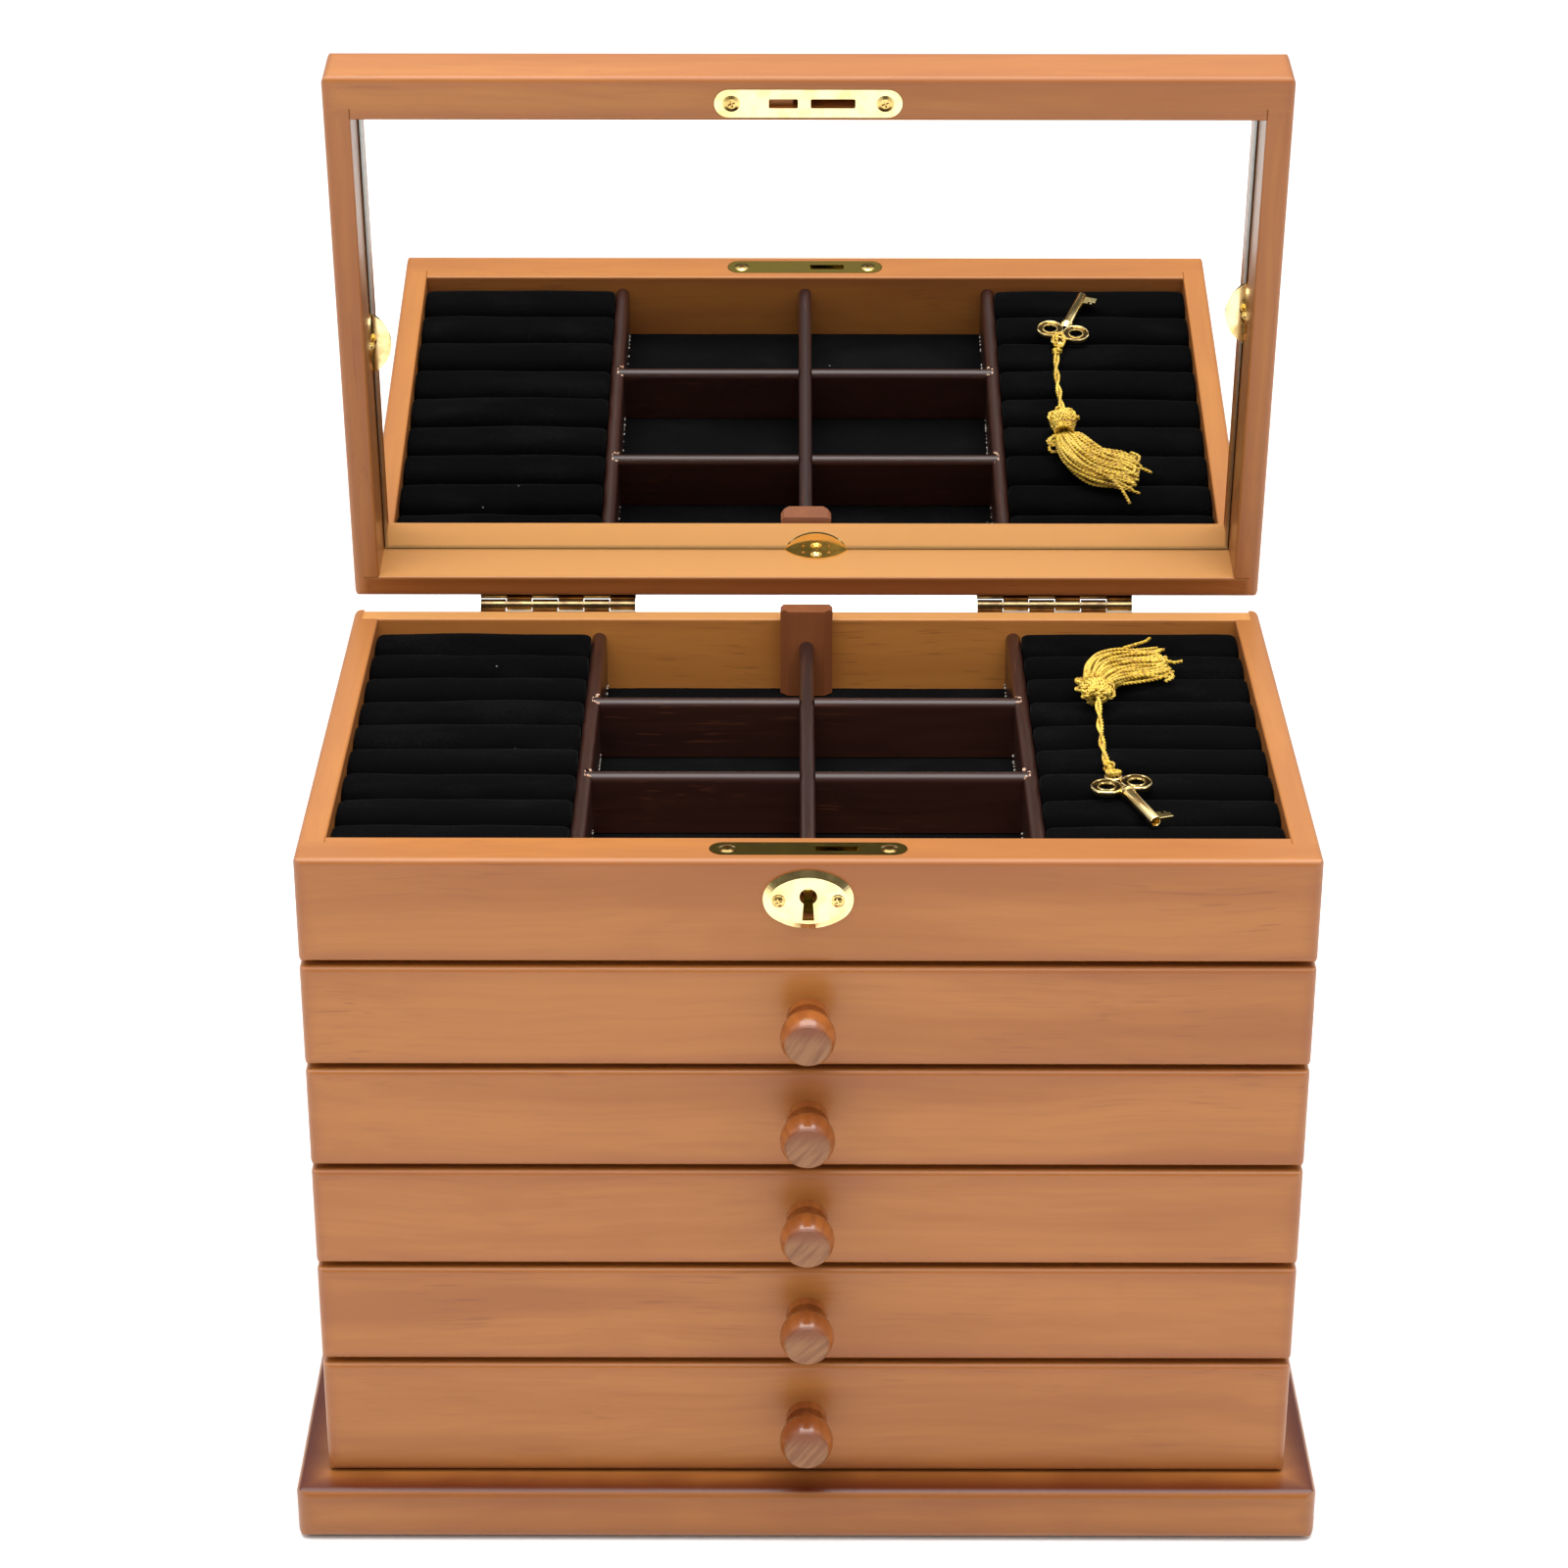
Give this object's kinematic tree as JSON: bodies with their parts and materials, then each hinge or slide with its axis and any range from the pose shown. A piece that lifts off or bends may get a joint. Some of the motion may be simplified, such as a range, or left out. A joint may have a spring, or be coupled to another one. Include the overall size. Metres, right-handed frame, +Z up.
{
  "type": "jewellery chest with drawers",
  "caption": "Upright wooden jewellery chest: round-knobbed drawers under a velvet tray with ring rolls and compartments, mirrored hinged lid, hook lock, small key on a tassel.",
  "frame": {"origin": "centre of the underside of the felt, where the chest stands on its table", "axes": "+X to the right seen from the drawer fronts, +Y from the drawer fronts back to the hinges, +Z up; the lid is drawn standing open 83 degrees from closed, and the drawers are shut"},
  "size_m": [0.34, 0.2415, 0.451],
  "materials": {
    "honey_wood": "honey-brown stain under satin varnish",
    "plinth_wood": "redder honey stain under satin varnish",
    "divider_wood": "dark red-brown stain, matt",
    "plain_wood": "bare planed softwood and plywood",
    "knob_wood": "turned, glossy varnish",
    "velvet": "black flock velvet with loose fibres",
    "felt": "pressed black felt",
    "gold_brass": "bright gold-plated, rubbed at the edges",
    "aged_brass": "toned brass, worn bright on the knuckles",
    "gold_thread": "twisted gold-yellow rayon thread",
    "mirror_glass": "silvered float glass",
    "card": "grey-brown card"
  },
  "bodies": {
    "chest": {"base_felt": "felt", "base_plinth": "plinth_wood", "side_panel_left": "honey_wood", "side_panel_right": "honey_wood", "back_panel": "honey_wood", "tray_front_wall": "honey_wood", "lid_block": "honey_wood", "tray_floor": "plain_wood", "drawer_runners": "plain_wood", "divider_left": "divider_wood", "divider_right": "divider_wood", "divider_centre": "divider_wood", "cross_dividers": "divider_wood", "tray_lining": "velvet", "ring_rolls_left": "velvet", "ring_rolls_right": "velvet", "lock_plate": "gold_brass", "lock_case": "gold_brass", "lock_screws": "gold_brass", "keyhole_plate": "gold_brass", "key": "gold_brass", "hinge_leaves_body": "aged_brass", "hinge_pins": "aged_brass", "hinge_screws_body": "aged_brass", "key_cord": "gold_thread", "tassel_head": "gold_thread", "tassel_skirt": "gold_thread"},
    "lid": {"lid_front_rail": "honey_wood", "lid_rear_rail": "honey_wood", "lid_left_rail": "honey_wood", "lid_right_rail": "honey_wood", "lid_panel": "honey_wood", "mirror": "mirror_glass", "mirror_backing": "card", "mirror_clips": "gold_brass", "strike_plate": "gold_brass", "lid_screws": "gold_brass", "hinge_leaves_lid": "aged_brass", "hinge_screws_lid": "aged_brass"},
    "hook": {"lock_hook": "gold_brass"},
    "drawer_1": {"drawer_1_front": "honey_wood", "drawer_1_box": "plain_wood", "drawer_1_lining": "velvet", "drawer_1_knob": "knob_wood"},
    "drawer_2": {"drawer_2_front": "honey_wood", "drawer_2_box": "plain_wood", "drawer_2_lining": "velvet", "drawer_2_knob": "knob_wood"},
    "drawer_3": {"drawer_3_front": "honey_wood", "drawer_3_box": "plain_wood", "drawer_3_lining": "velvet", "drawer_3_knob": "knob_wood"},
    "drawer_4": {"drawer_4_front": "honey_wood", "drawer_4_box": "plain_wood", "drawer_4_lining": "velvet", "drawer_4_knob": "knob_wood"},
    "drawer_5": {"drawer_5_front": "honey_wood", "drawer_5_box": "plain_wood", "drawer_5_lining": "velvet", "drawer_5_knob": "knob_wood"}
  },
  "joints": [
    {"name": "lid_hinge", "type": "hinge", "parent": "chest", "child": "lid", "pos_m": [0, 0.10075, 0.2506], "axis": [-1, 0, 0], "range_deg": [-83, 12]},
    {"name": "drawer_1_slide", "type": "slide", "parent": "chest", "child": "drawer_1", "axis": [0, -1, 0], "range_m": [0, 0.13]},
    {"name": "drawer_2_slide", "type": "slide", "parent": "chest", "child": "drawer_2", "axis": [0, -1, 0], "range_m": [0, 0.13]},
    {"name": "drawer_3_slide", "type": "slide", "parent": "chest", "child": "drawer_3", "axis": [0, -1, 0], "range_m": [0, 0.13]},
    {"name": "drawer_4_slide", "type": "slide", "parent": "chest", "child": "drawer_4", "axis": [0, -1, 0], "range_m": [0, 0.13]},
    {"name": "drawer_5_slide", "type": "slide", "parent": "chest", "child": "drawer_5", "axis": [0, -1, 0], "range_m": [0, 0.13]},
    {"name": "hook_swing", "type": "hinge", "parent": "chest", "child": "hook", "pos_m": [0.0015, -0.08955, 0.244], "axis": [0, -1, 0], "range_deg": [0, 93]}
  ]
}
